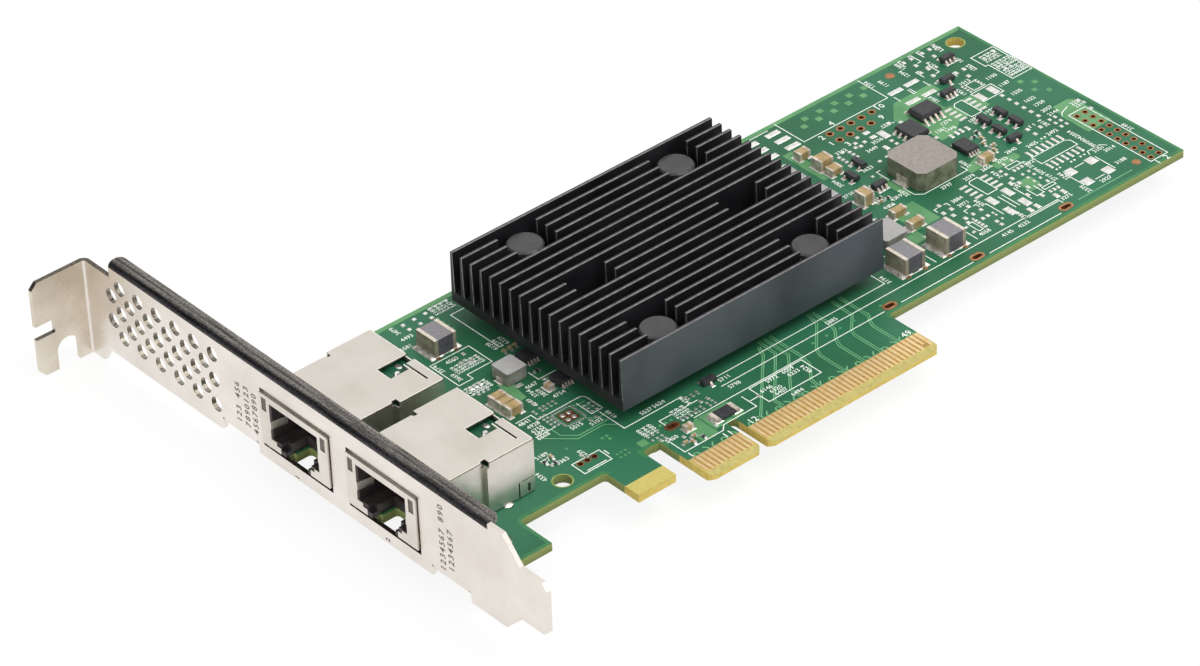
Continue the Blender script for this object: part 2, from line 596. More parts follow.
# %% Power areas
POUR, LANE, RIM, SOLDER, INK = 0.010, 0.016, 0.012, 0.0, 0.03  # heights above the board
power_areas = drawn("""80.5,54.4 84.4,58.6 93.6,58.6 93.6,56 90.1,56 90.1,51 91.2,51 91.2,46.5 89,46.4 85.5,44
    82.3,44 82.3,51.5; 83,30.8 83,32.6 88.6,32.6 88.9,31.5 88.3,30.8; 78.8,33.1 78.8,34.8 81.5,35.8 85,37 86,35
    83,33.2; 82.3,22 82.3,25.6 85.4,25.6 85.4,23 84,21.8; 65.6,36 65.6,42 67,44 67,36; -21.3,36.8 -21.3,43
    -18.5,43 -19.5,39.5 -19.8,37; -7,8 -7,11.5 -4,13.3 -3.4,13.3 -3.4,8""")
power_areas += blocks("""59.8,65.5,27.1,34.1 57,59.7,24.2,27.1 58.8,61,49.3,60 93.9,96.5,46.4,51
    -15.2,-13.5,13.5,15.1 -3.2,3.2,8.9,13.3""")


def meshed(curve):
    """The mesh of a curve, which is used up."""
    maker = bpy.data.objects.new(curve.name, curve)
    scene.collection.objects.link(maker)
    bpy.context.view_layer.update()
    mesh = bpy.data.meshes.new_from_object(maker)
    bpy.data.objects.remove(maker)
    bpy.data.curves.remove(curve)
    return mesh


def flat_shapes(curve):
    """The flat shapes that a 2D curve fills."""
    mesh = meshed(curve)
    shapes = [[tuple(mesh.vertices[i].co[:2]) for i in face.vertices] for face in mesh.polygons]
    bpy.data.meshes.remove(mesh)
    return shapes


def filled(outlines):
    """Triangles that fill outlines; an outline inside another one cuts a hole in it."""
    curve = bpy.data.curves.new("outlines", "CURVE")
    curve.dimensions = "2D"
    curve.fill_mode = "FRONT"
    for corners in outlines:
        spline = curve.splines.new("POLY")
        spline.points.add(len(corners) - 1)
        for point, (x, y) in zip(spline.points, corners):
            point.co = (x, y, 0, 1)
        spline.use_cyclic_u = True
    return flat_shapes(curve)


service_plane = drawn("102.7,28.1 102.7,34.5 103.8,38.1 107.6,38.1 108.5,37.1 108.5,28.1")
clearances = [circle(x, y, 0.6) for x in (104.75, 106.75) for y in (29, 31, 33)]
power_shapes = filled(service_plane + clearances)
for corners in power_areas:
    power_shapes += filled([corners])
lay("power_areas", power_shapes, POUR, "solder_mask_over_copper")

# %% [markdown]
# Thin pairs of lanes carry the fast signals from the fingers to under the heatsink. A pair keeps its
# spacing all the way. Each gold finger ends in a short stub with a bend, except every third, which
# is tied to an inner layer.

# %% Lanes and traces
traces = []
for lane in drawn("""4.3,6.3 16.2,18.6 17.2,20.8; 9,6 9,8 18,17.6 18.2,22; 13,6 13,8.5 19.3,15.8 19.4,22;
        17,6 17.2,8 20,11.4 20.6,14 20.6,22; 23,5.8 23,12 23.7,13.7 28.7,19 29.4,22;
        27.2,5.8 27.2,11.7 27.9,13.4 29.7,15.6 30.3,17.7 30.3,22; 31.1,5.8 31.1,12.4 31.7,13.7 34.7,16.7 34.9,22;
        35.1,5.8 35.1,12 35.7,13.5 36.6,14.7 36.6,22"""):
    for offset in (-0.22, 0.22):
        traces += ribbon([(x + offset, y) for x, y in lane], 0.16)
for line in drawn("""-26,27.2 -21.2,22.5 -15.5,22.5 -14,21; -22.7,27.4 -22.7,25.2 -20.5,23.1 -14.1,23.1;
        86.3,14.5 99.6,14.5; -12.4,24.6 -15.2,24.6 -16.4,25.8; -13.6,28.4 -15.4,28.4;
        -13.6,29.6 -15.4,29.6 -16,30.2; 46.4,24 50.4,24; 46,60 50,64 55.4,64; 46,57.5 50.6,57.5 53,59.9 55.4,59.9"""):
    traces += ribbon(line, 0.2)
finger_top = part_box("edge_contacts_front")[1][1] / MM
for i, x in enumerate(steps(-1.5, -1, 11) + steps(1.5, 1, 38)):
    if i % 3 != 1:
        lean = 0.6 if i % 2 else -0.6
        traces += ribbon([(x, finger_top + 0.05), (x, finger_top + 0.5), (x + lean, finger_top + 1.2)], 0.26)
lay("trace_lines", traces, LANE, "solder_mask_over_trace")

# %% [markdown]
# The mask looks lighter in a rim where no inner copper reaches the board's edge. The rim follows the
# board's own outline, moved inwards, so the outline is read from the solid: it is made of the edges
# of the top face that have the face on one side only.

# %% The rim
def welded(node):
    """A working copy of a solid's mesh, with the corners of its loose triangles joined."""
    work = bmesh.new()
    work.from_mesh(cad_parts[node].data)
    bmesh.ops.remove_doubles(work, verts=work.verts, dist=0.001 * MM)
    return work


walk = welded("circuit_board")
upper = dict.fromkeys(f for f in walk.faces if f.normal.z > 0.99 and f.calc_center_median().z > -0.01 * MM)
links = {}
for face in upper:
    for loop in face.loops:
        if sum(f in upper for f in loop.edge.link_faces) == 1:
            links[loop.vert] = loop.link_loop_next.vert
loops = []
while links:
    first, vert = links.popitem()
    chain = [first]
    while vert != first:
        chain.append(vert)
        vert = links.pop(vert)
    loops.append([(v.co.x / MM, v.co.y / MM) for v in chain])
walk.free()


def spread(corners):
    """How far corners reach along X."""
    return max(corners)[0] - min(corners)[0]


outline = max(loops, key=spread)
print("board outline has", len(outline), "corners and", len(loops) - 1, "holes")
if area(outline) < 0:
    outline.reverse()
RIM_START, RIM_END, BACK_RIM_END = 0.02, 0.68, 1.0  # distances from the edge
outer, inner, far_side = [[tuple(place + inwards * distance) for place, inwards in mitred(outline, True)]
                          for distance in (RIM_START, RIM_END, BACK_RIM_END)]
back_edge = max(y for x, y in outline)
FINGER_ZONE_TOP, SKIRT_END = 5.6, -42  # there is no rim on the finger tabs
rim = []
back_rim = []
for i, (x, y) in enumerate(outline):
    n = (i + 1) % len(outline)
    nearer = min(y, outline[n][1])
    if nearer > back_edge - 0.5:
        back_rim.append([outer[i], outer[n], far_side[n], far_side[i]])
    elif nearer > FINGER_ZONE_TOP or x < SKIRT_END:
        rim.append([outer[i], outer[n], inner[n], inner[i]])
lay("board_rim", rim, RIM, "solder_mask_over_bare_rim")
lay("board_back_rim", back_rim, RIM, "solder_mask_over_copper")

# %% [markdown]
# ## Solder
# Every joint on the board is a small cushion of tin that froze as it wetted its pad. A geometry tree
# makes them all: each point of a plain mesh carries the size and turn of one pad, and the tree sets
# a low tapered block on it, four-sided for the pads of chips and many-sided for round ones.

# %% The pad tree
pads = bpy.data.node_groups.new("pads_on_points", "GeometryNodeTree")
sockets = {}
for label, kind in (("Points", "Geometry"), ("Sides", "Int"), ("Foot radius", "Float"), ("Top radius", "Float"),
                    ("Material", "Material"), ("Pads", "Geometry")):
    way = "OUTPUT" if label == "Pads" else "INPUT"
    sockets[label] = pads.interface.new_socket(name=label, in_out=way, socket_type="NodeSocket" + kind).identifier
given = add(pads, "NodeGroupInput").outputs
cone = add(pads, "GeometryNodeMeshCone", {"Vertices": given["Sides"], "Radius Bottom": given["Foot radius"],
                                          "Radius Top": given["Top radius"], "Depth": 1.0})
half_turn = add(pads, "Math", {0: math.pi, 1: given["Sides"]}, operation="DIVIDE")
shape = add(pads, "GeometryNodeTransform", {"Geometry": cone,
                                            "Rotation": add(pads, "CombineXYZ", {"Z": half_turn})})
size = add(pads, "GeometryNodeInputNamedAttribute", {"Name": "size"}, data_type="FLOAT_VECTOR")
turned = add(pads, "GeometryNodeInputNamedAttribute", {"Name": "turn"}, data_type="FLOAT")
copies = add(pads, "GeometryNodeInstanceOnPoints",
             {"Points": given["Points"], "Instance": shape, "Rotation": add(pads, "CombineXYZ", {"Z": turned}),
              "Scale": size})
real = add(pads, "GeometryNodeRealizeInstances", {"Geometry": copies})
coated = add(pads, "GeometryNodeSetMaterial", {"Geometry": real, "Material": given["Material"]})
add(pads, "NodeGroupOutput", {"Pads": coated})


def set_pads(name, places, material, sides=4, taper=0.8, down=False):
    """One piece from places: (x, y, z, length, width, height, turn in degrees), in millimetres."""
    points = bpy.data.meshes.new(name + "_points")
    points.from_pydata([(x * MM, y * MM, z * MM) for x, y, z, *_ in places], [], [])
    sizes = points.attributes.new("size", "FLOAT_VECTOR", "POINT")
    sizes.data.foreach_set("vector", [v * MM for place in places for v in place[3:6]])
    turns = points.attributes.new("turn", "FLOAT", "POINT")
    turns.data.foreach_set("value", [math.radians(place[6]) for place in places])
    holder = bpy.data.objects.new(name + "_points", points)
    scene.collection.objects.link(holder)
    grow = holder.modifiers.new("pads", "NODES")
    grow.node_group = pads
    foot = 0.5 / math.cos(math.pi / sides)
    for label, value in (("Sides", sides), ("Foot radius", foot), ("Top radius", foot * taper),
                         ("Material", bpy.data.materials[material])):
        grow[sockets[label]] = value
    depsgraph = bpy.context.evaluated_depsgraph_get()
    mesh = bpy.data.meshes.new_from_object(holder.evaluated_get(depsgraph), depsgraph=depsgraph)
    bpy.data.objects.remove(holder)
    bpy.data.meshes.remove(points)
    if down:
        mesh.flip_normals()
    settle(name, mesh, material)


print("pad tree has", len(pads.nodes), "nodes")

# %% [markdown]
# The solid of each kind of part holds many separate blocks, one for each terminal. They are found by
# walking from corner to corner, and each gets a pad a little larger than its box. The block
# capacitors and the sense resistor stand in deeper fillets that climb their ends.

# %% Solder under every fitted part
def islands(node):
    """The boxes of a solid's separate blocks, in millimetres."""
    work = welded(node)
    seen = set()
    boxes = []
    for start in work.verts:
        if start in seen:
            continue
        group = [start]
        seen.add(start)
        for vert in group:
            for edge in vert.link_edges:
                other = edge.other_vert(vert)
                if other not in seen:
                    seen.add(other)
                    group.append(other)
        boxes.append([[pick(v.co[k] for v in group) / MM for k in range(3)] for pick in (min, max)])
    work.free()
    return boxes


def under(node, more_x, more_y, height):
    """A pad for each block of a solid, larger than the block by more_x and more_y."""
    return [((low[0] + high[0]) / 2, (low[1] + high[1]) / 2, SOLDER, high[0] - low[0] + more_x,
             high[1] - low[1] + more_y, height, 0) for low, high in islands(node)]


PAD_HEIGHT, EMPTY_PAD_HEIGHT, BARE_CORNER_HEIGHT = 0.07, 0.09, 0.12
fitted = []
for node, more in (("ceramic_capacitor_ends", 0.7), ("small_transistor_leads", 0.45), ("flash_memory_leads", 0.35),
                   ("power_chip_leads", 0.25), ("clock_chip_leads", 0.2), ("main_inductor_terminals", 1.2),
                   ("small_inductor_terminals", 0.7), ("flat_inductor_terminals", 0.9)):
    fitted += under(node, more, more, PAD_HEIGHT)
set_pads("solder_under_parts", fitted, "frozen_tin_solder")
fillets = under("block_capacitor_ends", 2.0, 0.5, 0.4) + under("sense_resistor_ends", 1.1, 0.4, 0.25)
set_pads("solder_fillets", fillets, "solder_fillet", 4, 0.66)
corners = [((low[0] + high[0]) / 2, low[1] - 0.35, SOLDER, 1.0, 0.6, BARE_CORNER_HEIGHT, 0)
           for low, high in islands("block_capacitor_ends")]
set_pads("bare_copper_corners", corners, "coated_copper")

# %% [markdown]
# The board has many places where nothing was fitted. Their pads carry a thin cushion of solder too.
# Most stand in rows and columns, as for chips and resistors, so a table gives the size of a pad and
# the lines that the pads stand on; the others are drawn one by one.

# %% Solder on unfitted places
unfitted = []


def tin(places, length, width):
    for x, y in places:
        unfitted.append((x, y, SOLDER, length, width, EMPTY_PAD_HEIGHT, 0))


for length, width, xs, ys in (
        (0.6, 1.85, steps(90.15, 1.27, 7), (25.4, 30.4)), (1.7, 0.6, (89.8, 94.7), steps(46.4, 1.27, 4)),
        (1.8, 0.55, (74.7, 79.6), steps(27.1, 1.27, 4)), (3.1, 1.25, (57.1, 62.3), (66.3, 63.75, 61.1)),
        (2.0, 2.0, (91.5, 96.6), (21.5, 17.4)), (0.8, 0.8, [100], steps(37.9, 1.82, 6)),
        (0.65, 0.75, (100.5, 101.8), steps(32.7, 1.45, 3)), (0.78, 0.78, steps(-21.7, 2.45, 3), (65.2, 66.9)),
        (0.6, 0.5, steps(-25, 0.98, 3), (43.0, 44.1)), (0.65, 1.2, steps(-24.9, 0.95, 3), [45.3]),
        (0.6, 0.5, steps(-21.5, 0.9, 2), (51.0, 52.1)), (0.55, 0.5, [-20.35], steps(34.95, 1.05, 2)),
        (0.5, 0.9, steps(-5.5, 0.95, 4), [14.7]), (0.85, 0.5, [69.1], steps(19.8, 0.8, 4)),
        (0.5, 0.45, (-21.7, -20.3, -19.5, -18.5, -17.5), (33.2, 32.4)),
        (0.5, 0.5, (-14.5, -13.5), steps(26.7, 1.05, 3)), (0.5, 0.45, (-21.8, -21.0), steps(27.7, 0.88, 5)),
        (0.5, 0.4, (-0.9, 0.2, 1.3), (18.9, 18.2)), (0.5, 0.5, (-1.9, -0.9, 0.5, 1.6), (15.3, 14.4)),
        (0.5, 0.5, (-12.7, -11.7, -10.7), (14.9, 13.8)), (0.7, 0.4, (96.9, 100.1), steps(51.7, 0.72, 4)),
        (0.6, 0.8, steps(84.7, 0.93, 3), (19.7, 28.6)), (0.6, 0.8, (84.7, 86.6), (22.3, 31.2)),
        (0.6, 0.6, (84.9, 86.4), (23.85, 25.4, 26.7)), (0.8, 0.6, (65.6, 68.1), steps(50.7, 1.0, 3)),
        (0.8, 0.65, [75.9], steps(48.9, 1.3, 2)), (1.35, 0.9, [74.4], (53.3, 55.1))):
    tin(grid(xs, ys), length, width)
# in this drawing the first pair of each line is the size of its pads
for size, *places in drawn("""3.2,1.1 87.3,61.1 91.3,61.2 87.4,56.7 91.3,56.6; 1.6,0.9 -18.6,40.4;
        1.5,2.5 76.3,52.6 75.5,20.3 79.3,20.5 75.4,24.6 79.3,24.7 96.9,49.3 100.1,49.4;
        0.95,1.4 81.1,53 78.2,18.1 79.9,18.1 84.5,18.1 86.3,18.1 73.7,49.3; 0.7,0.9 -19.7,51.1 -21.7,53.6 -19.6,53.6;
        0.55,0.5 -22.5,31.1 -23.8,18.8; 0.6,0.75 -2.5,9.7 -8.4,11 8,10.7 0,16.2 1.5,16.2; 0.6,0.5 -11,11.9 -9.9,11.9;
        0.85,0.5 66.5,20 66.5,21.9; 0.5,0.6 98.1,61.8 94.3,58 81.3,60.4;
        0.85,0.85 67.8,22.7 71.2,26.2 68.4,24 67.5,26.1 66.7,27.7 68.6,27.7 67.7,29.9;
        0.75,0.75 70.5,21.9 71.7,21.9 70.2,24 72.1,24 71.6,18.4 71.6,19.6;
        0.5,0.5 72.9,21.9 72.9,21.1 72.9,19.6 69.1,22.9 102.1,66.1 103,66.1;
        0.6,0.8 -11.7,12.8 -10.7,12.8 -16.3,25 -15,25; 0.7,1.3 84.4,43.9 85.8,44 86.9,44 88.2,43.8;
        0.75,0.9 81.1,21.7 82.8,19.8 82.8,23.3 82.6,25.3 82.7,27.1 81.4,26.1;
        0.8,0.65 82.8,28.7 82.8,30 82.2,45.4 79.2,54.6 58.5,27.7;
        0.8,0.7 67.1,53.5 69.8,53 70.8,52.7 72.2,53.2 70.7,54 72.2,55.1 69.9,46.9;
        0.6,0.6 61.4,35.7 62.3,35.7 65.4,40.4 65.7,44.3 64.2,36.9;
        0.7,0.8 108.4,33.2 108.4,36.5 106.7,53 109.2,58.6 107.9,52.7"""):
    tin(places, *size)


def rotated(dx, dy, degrees):
    """A step turned anticlockwise."""
    c, s = math.cos(math.radians(degrees)), math.sin(math.radians(degrees))
    return dx * c - dy * s, dx * s + dy * c


# small transistors: two pads on one side, one on the other
for x, y, turn in ((95.75, 61.3, 0), (95.8, 65.8, 0), (100.35, 65.8, 0), (100.2, 56.8, 0), (96.6, 35.15, 90)):
    for dx, dy in ((-0.95, 1.1), (0.95, 1.1), (0, -1.1)):
        moved_x, moved_y = rotated(dx, dy, turn)
        tin([(x + moved_x, y + moved_y)], 0.8, 0.85)
# the unfitted chip by the jacks: eight narrow pads on each side
for along in steps(-1.75, 0.5, 8):
    tin(grid([-18.25 + along], (30.4, 26.2)), 0.28, 0.5)
    tin(grid((-16.15, -20.35), [28.3 + along]), 0.5, 0.28)
set_pads("solder_on_pads", unfitted, "frozen_tin_solder")

# %% [markdown]
# ## Bare copper and plated holes
# Test points and the ground pad in the middle of an unfitted chip were left as bare copper. Every
# plated hole has a copper ring on the board and a dark copper wall inside, so that it reads as a
# hole from above. The rings are flat annuli; the walls are short open tubes.

# %% Rings and hole walls
def annulus(inside, outside):
    """The shapes between two outlines with the same number of corners."""
    count = len(inside)
    return [[inside[i], outside[i], outside[(i + 1) % count], inside[(i + 1) % count]] for i in range(count)]


def long_circle(x, y, length, width):
    """An outline with straight sides and round ends."""
    half = (length - width) / 2
    return [(px + (half if px > x else -half), py) for px, py in circle(x, y, width / 2)]


header = [(79.7 - 2.54 * i, 59.25 - 2.54 * j) for i in range(5) for j in (0, 1) if i or not j]
service = grid((106.75, 104.75), steps(33, -2, 10))
small_header = grid(steps(-25.4, 1.5, 3), [17.1])
stitches = ((-7.8, 14.4), (41.1, 14.3), (61.8, 14.4), (83.3, 14.5))
BOARD_LOW = -1.57
LAND, LIP = 0.035, 0.03  # how far the lands and the ends of the walls stand off the board
PLATING = 0.96  # the hole inside its plating, as a share of the drilled hole
rings = []
walls = []
for places, radius, land in ((header, 0.5, 0.8), (service, 0.42, 0.66), (small_header, 0.5, 0.66)):
    for x, y in places:
        walls.append(circle(x, y, radius * PLATING))
        rings += annulus(walls[-1], circle(x, y, land))
for x, y in stitches:
    walls.append(long_circle(x, y, 2.1, 0.9))
    rings += annulus(walls[-1], long_circle(x, y, 3.0, 1.9))
lay("hole_lands", rings, LAND, "coated_copper")
lay("hole_lands_below", rings, BOARD_LOW - LAND, "coated_copper", down=True)
corners = []
faces = []
for wall in walls:
    first = len(corners)
    count = len(wall)
    corners += [(x, y, z) for z in (BOARD_LOW - LIP, LIP) for x, y in wall]
    for i in range(count):
        n = (i + 1) % count
        faces.append((first + i, first + count + i, first + count + n, first + n))
build("plated_hole_walls", corners, faces, "copper_hole_wall")

# %% [markdown]
# The mask stops short of the unplated holes, and leaves a ring of bare laminate. Solder that has no
# part on it stands in round dots, and the mask closes small vias into low domes.

# %% Bare rings, dots and vias
NARROWEST, WIDEST = 2.4, 5  # widths between which the unplated holes lie
RING_SIZE = 1.16  # the outside of a bare ring, as a share of its hole
bare_rings = []
for loop in loops:
    if NARROWEST < spread(loop) < WIDEST:
        middle = Vector((sum(x for x, y in loop), sum(y for x, y in loop))) / len(loop)
        bare_rings += annulus(loop, [tuple(middle + (Vector(corner) - middle) * RING_SIZE) for corner in loop])
lay("bare_laminate_rings", bare_rings, 0.03, "bare_glass_epoxy_laminate")
bare = [circle(90.15, 65.5, 0.9, 24), circle(101.9, 15.7, 0.8, 24), block(-19.7, -16.8, 26.85, 29.75)]
lay("bare_copper_places", bare, 0.02, "coated_copper")
dots = [(x, y, 0.02, 0.85, 0.85, 0.1, 0) for x, y in grid((-18.9, -17.6), (27.6, 29.0))]
set_pads("solder_dots", dots, "frozen_tin_solder", 12, 0.75)
vias = []
for xs, ys in (([-24.3], [21.8]), (steps(-18.2, 0.9, 2), [19.9]), ([-17.4], [19.0]), ([48.2], steps(56.5, 1.4, 5)),
               ([46.6], steps(34.2, 1.5, 4)), (steps(87.9, 0.9, 3), [53.4]), ([103.2], steps(29.0, 1.5, 6)),
               ([107.9], steps(29.5, 1.5, 5)), (steps(84.6, 0.9, 3), [45.3]), (steps(-9.2, 1.2, 6), [15.9]),
               (steps(24.5, 3.1, 6), [15.4]), (steps(60.4, 1.1, 4), [30.6]), (steps(-20.9, 0.9, 2), (37.9, 41.8)),
               (steps(93.4, 1.2, 4), [31.9]), ([-16.2], steps(60.4, 1.3, 4))):
    vias += [(x, y, SOLDER, 0.62, 0.62, 0.03, 0) for x, y in grid(xs, ys)]
set_pads("covered_vias", vias, "solder_mask_over_vias", 10, 0.7)

# %% [markdown]
# ## Printing on the board
# The white lines mark where parts sit: brackets and boxes round them, and long lines that tie a
# group together. They are 0.15 to 0.2 mm wide, as printing on circuit boards is.

# %% White outlines
LINE = 0.19
closed_lines = drawn("""110.1,59.6 104.6,59.6 104.6,55.8 105.3,55.8 105.3,49.6 110.1,49.6;
    91.3,45.8 91.3,50.2 92,50.9 93.8,50.9 93.8,45.8; 89.65,26.7 89.65,29.2 97.7,29.2 98.5,28.5 98.5,26.7;
    -25.9,54.7 -17.5,54.7 -17.5,48.6 -22.9,48.6 -22.9,47.1 -25.9,47.1; 76.2,26.5 76.2,31 76.7,31.5 78.6,31.5
    78.6,26.5""")
closed_lines += blocks("""96.3,101.25,47.8,51.1 97.6,99.9,51.6,53.9 103.8,107.95,14,34.2 84.3,87.2,29.4,30.4
    84.4,87.1,20.7,21.5 8.15,19.85,8.4,13.3 -26.55,-20.75,14.6,17.9 67.4,68.4,19.6,22.4""")
open_lines = drawn("""84.9,68.4 84.9,60.6 64.6,60.6 64.6,68.4; 57.9,67.65 62.4,67.65; -25.7,15 -21.6,15;
    77.4,54.1 80.4,54.1; 92.9,21.9 95.2,21.9; 92.9,16.85 95.2,16.85; 90.3,21.9 90.3,16.9; 97.9,21.9 97.9,16.9;
    -13.85,25.6 -13.85,19.4 -1.3,19.4; 5.8,19.5 44.9,19.5 44.9,23.1; -15.1,30 -15.1,26.1 -12.7,26.1 -12.7,30;
    -8.5,15.3 -8.5,16.9 0,16.9; 5.3,16.95 83.8,17 83.8,15.7; -11,11.6 -11,7.8 -2.6,7.8 -1.5,8.9 5.8,8.9 5.8,12.6;
    6,10.7 8,10.7; -26,27.5 -21.8,27.5; -11,63.6 -14,63.6 -14,50.8; -15.8,67.6 -11.5,67.6;
    -15.2,42.1 -15.2,39.4 -11.4,39.4; -25.9,32.7 -22.6,32.7 -22.6,31 -13.3,31 -12.8,30.5 -12.8,26;
    -22.7,55.7 -19.8,55.7; 49.9,18.2 52.8,18.2; 59.6,18.2 62.4,18.2; 67.1,38.1 67.1,35.3 68.4,34.2 79,34.3 79,36;
    67.1,41.6 67.1,44.8 68,44.8; 82.1,23 82.1,20.3 83.8,20.3 83.8,23; 97.7,22.9 98.1,23.9 101.2,23.9 102,22.9;
    76.5,16.6 83.8,16.6; 102.9,34.8 103.7,35.7 105.8,36.4; 50.4,25.2 50.4,32.4 58.2,32.4;
    49.6,40.8 49.6,55.4 56.8,55.4; 46.6,26 46.6,31.5; -3.8,13.65 39.3,13.65; 43.2,13.65 60.2,13.65;
    64,13.65 81.3,13.65""")
for xs, low, high in (((85.8, 89.2, 89.7, 93.1), 58.1, 60), ((55.6, 65.5), 18, 21),
                      ((74, 77, 77.9, 80.8), 20.3, 24.8)):
    open_lines += [[(x, low), (x, high)] for x in xs]
# three-sided marks round places for small transistors, and corner marks
for x0, x1, y0, y1 in drawn("94.2,97.4,65,67.7 98.8,103,65,67.7 94.2,97.4,60.3,63 98.7,102.9,56.3,58.3")[0]:
    open_lines.append([(x0, y0 + 0.6), (x0, y1), (x0 + 0.8, y1)])
    open_lines.append([(x1 - 0.8, y1), (x1, y1), (x1, y0), (x1 - 0.9, y0)])
for x0, x1, y0, y1 in drawn("66.2,69.2,28.5,29.5 69.7,72.6,24.7,25.7 96.4,97.4,36,36.7")[0]:
    open_lines.append([(x0, y0), (x0, y1), (x0 + 0.8, y1)])
    open_lines.append([(x1 - 0.7, y1), (x1, y1), (x1, y0)])
ink = []
for lines, closed in ((closed_lines, True), (open_lines, False)):
    for corners in lines:
        ink += ribbon(corners, LINE, closed)


def squares(places, reach):
    return [block(x - reach, x + reach, y - reach, y + reach) for x, y in places]


ink += squares(drawn("90.3,23.7 91.1,23.7 93.8,23.6 94.6,23.6 96.1,23.6 97,23.6 95.2,32.3 96,32.3")[0], 0.2)
lay("white_outlines", ink, INK, "white_epoxy_ink")
# squares of covered copper, in two rows by the back edge and in smaller groups
marks = squares(grid(steps(69.7, 3.6, 5), [65.9]) + grid(steps(67.9, 3.6, 5), [64.15]), 0.6)
marks += squares(drawn("105.5,47.9 107.35,46.1 105.5,44.3 107.35,42.5")[0], 0.5)
marks += squares(grid((-19.4, -18.5, -17.6), (13.9, 14.9)), 0.22)
lay("covered_squares", marks, 0.025, "solder_mask_over_copper")

# %% [markdown]
# ## Numerals
# Each digit is made once from the built-in font, turned into a plain mesh, and then set as often as
# it is needed. The numbers only stand for the kind of marks that boards carry, and mean nothing.

# %% Digits
digit_shapes = []
for digit in range(10):
    curve = bpy.data.curves.new("digit", "FONT")
    curve.body = str(digit)
    curve.size = 1.4
    curve.resolution_u = 2
    curve.offset = 0.012
    shapes = flat_shapes(curve)
    xs = [x for shape in shapes for x, y in shape]
    centre = (min(xs) + max(xs)) / 2
    digit_shapes.append([[(x - centre, y) for x, y in shape] for shape in shapes])
print("digits ready:", len(digit_shapes))


def number(text, x, y, height=0.9, turn=0, spacing=0.78):
    """The flat shapes of a number centred on (x, y), its digits height tall."""
    shapes = []
    for i, letter in enumerate(text):
        along = (i - (len(text) - 1) / 2) * spacing * height
        for shape in digit_shapes[int(letter)] if letter != " " else ():
            moved = [rotated(dx * height + along, (dy - 0.5) * height, turn) for dx, dy in shape]
            shapes.append([(x + dx, y + dy) for dx, dy in moved])
    return shapes


# %% [markdown]
# Most numbers stand beside a part. One drawing holds those that read upright and one those that
# are turned to the left, and a rule that has no meaning picks the digits.

# %% Numbers on the board
upright = drawn("""98.2,54.7 102.9,52.7 103,49.5 86.8,47.8 84.4,46.6 85.8,45.6 102.6,46 102.6,42.7 102.9,40.6
    78.7,54.5 91,45 94.8,45 102.6,38.4 102.6,36.8 107.9,36.5 107.9,35.4 92.7,32.2 98,32.5 77.6,32.5 81.8,32.5
    85.5,32.4 88.7,33.4 94.3,15.7 101.5,21.9 100,23.1 100.2,17.9 85.5,16.6 67.1,53.8 71.5,50.6 74,51.9 66.7,46.7
    58.8,43.1 72.9,33.3 71.3,29.1 71.2,27.4 67.8,18.7 70.4,15.8 74.3,15.8 64.2,36.8 61.5,35.8 -23.5,63.7
    -22.2,53.5 -17.2,39 -15.4,34 -24.7,31.9 -24.1,30.4 -19.1,25.3 -16,24 -28.6,23.1 -28.6,21.7 -26.9,19.8
    -10.2,11.9 -8.2,20.5 -5.4,20.6 7.2,18.4 7.2,15.9 31,17.9 12.7,12.8 16.3,12.8 10.2,11.4 16.5,11.6 11.3,10.3
    11.5,9.2 13.3,7.2 -25.4,61.6 -24.8,27 -24.3,29.1 -24.3,28.2 88.7,28.5 60.4,24.6 52.6,35.4 56.1,57.5""")[0]
turned_left = drawn("""85.5,65.9 87.5,64.4 92.4,64.1 93.5,66.4 102.6,66.6 98,62.8 102.6,60.9 102.4,57.2 90.4,54.4
    95.5,52.8 100.2,29.5 108.7,24.5 89.6,21.4 89.6,16 81.6,29.8 87.7,28.3 81.6,25.4 87.9,22.6 99,35.6 80,36
    59.8,46.9 73.4,25.6 45.7,20.2 66.1,36.9 75.9,17.8 -23.8,66.5 -25.4,53 -24.7,49.2 -18.5,37.1 -17.3,36.2
    -14.5,37.7 -20.2,35.2 -12.9,23.8 -23.3,18.8 -32.3,18.8 -1.7,18 18.7,10.8 71.9,46.2 48.6,61.6 56.9,33.6
    100.2,26.9 100.2,24.8 87.7,25.4""")[0]
for x, y, step, count in ((-15.4, 66.3, 1.15, 4), (-23.5, 50.8, 1.0, 6), (-14.8, 51.9, 1.25, 3),
                          (-25.8, 44.6, 0.95, 5), (-12.7, 16.3, 1.1, 3), (-5.4, 16.4, 1.1, 3), (106.1, 57.6, 0.95, 4),
                          (106.1, 54.5, 0.95, 5), (106.1, 51.5, 0.95, 5)):
    turned_left += grid(steps(x, step, count), [y])
print_shapes = []
for places, first, step, turn in ((upright, 1013, 87, 0), (turned_left, 1104, 95, 90)):
    for i, (x, y) in enumerate(places):
        print_shapes += number(str(first + i * step), x, y, 0.92, turn, 0.7)
for text, x, y in (("2", 67.7, 59.4), ("1", 67.7, 56.9), ("4", 72, 61.6), ("3", 69.7, 54.8), ("10", 81.8, 59.5),
                   ("9", 79.8, 56.9), ("1", -10.8, 6.6), ("11", -2.7, 6.6), ("12", 2.8, 6.6), ("49", 37.5, 6.6),
                   ("1", 104.6, 13.2), ("2", 106.8, 13.2), ("1", -20.2, 16.6)):
    print_shapes += number(text, x, y, 1.35)
lay("white_numerals", print_shapes, INK, "white_epoxy_ink")

# %% [markdown]
# The bracket carries short lines of dark print beside the ports, and a numeral below each port. The
# print is laid flat and then turned onto the bracket's face.

